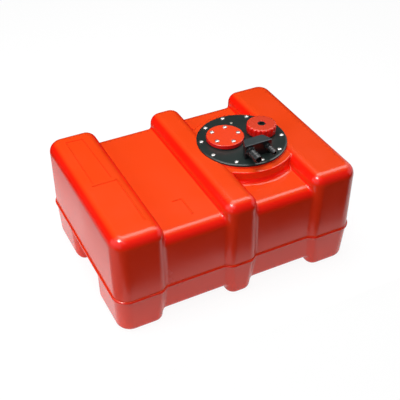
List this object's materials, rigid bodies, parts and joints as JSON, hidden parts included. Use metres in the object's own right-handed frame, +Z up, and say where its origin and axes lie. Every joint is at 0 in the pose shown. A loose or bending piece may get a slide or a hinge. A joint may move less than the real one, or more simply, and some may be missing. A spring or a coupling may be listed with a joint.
{
  "type": "inboard fuel tank",
  "caption": "Ribbed moulded fuel tank with strap bands, feet and a parting lip, and a hatch plate with a turning filler cap, an outlet block with barbed hose tails and a blanked gauge port.",
  "frame": {"origin": "middle of the ground plane under the tank", "axes": "+X along the tank towards the hatch end, -Y towards the hose tails, +Z up"},
  "size_m": [0.505, 0.363, 0.2563],
  "materials": {
    "tank": "glossy orange-red rotationally moulded plastic",
    "cover": "glossy orange-red moulded plastic",
    "cap": "glossy red moulded plastic",
    "black_plastic": "black moulded plastic with a low sheen",
    "rubber": "matt black rubber",
    "steel": "bright steel",
    "brass": "plain brass"
  },
  "bodies": {
    "tank": {"tank_shell": "tank", "hatch_inserts": "brass", "hatch_gasket": "rubber", "hatch_plate": "black_plastic", "hatch_screws": "steel", "port_inserts": "brass", "port_gasket": "rubber", "port_cover": "cover", "port_screws": "steel", "outlet_block": "black_plastic", "block_gasket": "rubber", "block_screws": "steel", "vent_tail": "black_plastic", "fuel_tail": "black_plastic", "tail_seals": "rubber", "pickup_tube": "black_plastic", "pickup_strainer": "black_plastic", "bonding_stud": "brass", "bonding_nut": "brass"},
    "seal": {"cap_seal": "rubber"},
    "cap": {"filler_cap": "cap", "cap_plug": "black_plastic"}
  },
  "joints": [
    {"name": "cap_rise", "type": "slide", "parent": "tank", "child": "seal", "axis": [0, 0, 1], "range_m": [0, 0.006]},
    {"name": "cap_turn", "type": "hinge", "parent": "seal", "child": "cap", "pos_m": [0.14024, 0.00491, 0.2415], "axis": [0, 0, 1], "range_deg": [0, 540]}
  ],
  "couplings": [
    {"joint": "cap_rise", "follows": "cap_turn", "m_per_rad": 0.00063662}
  ]
}
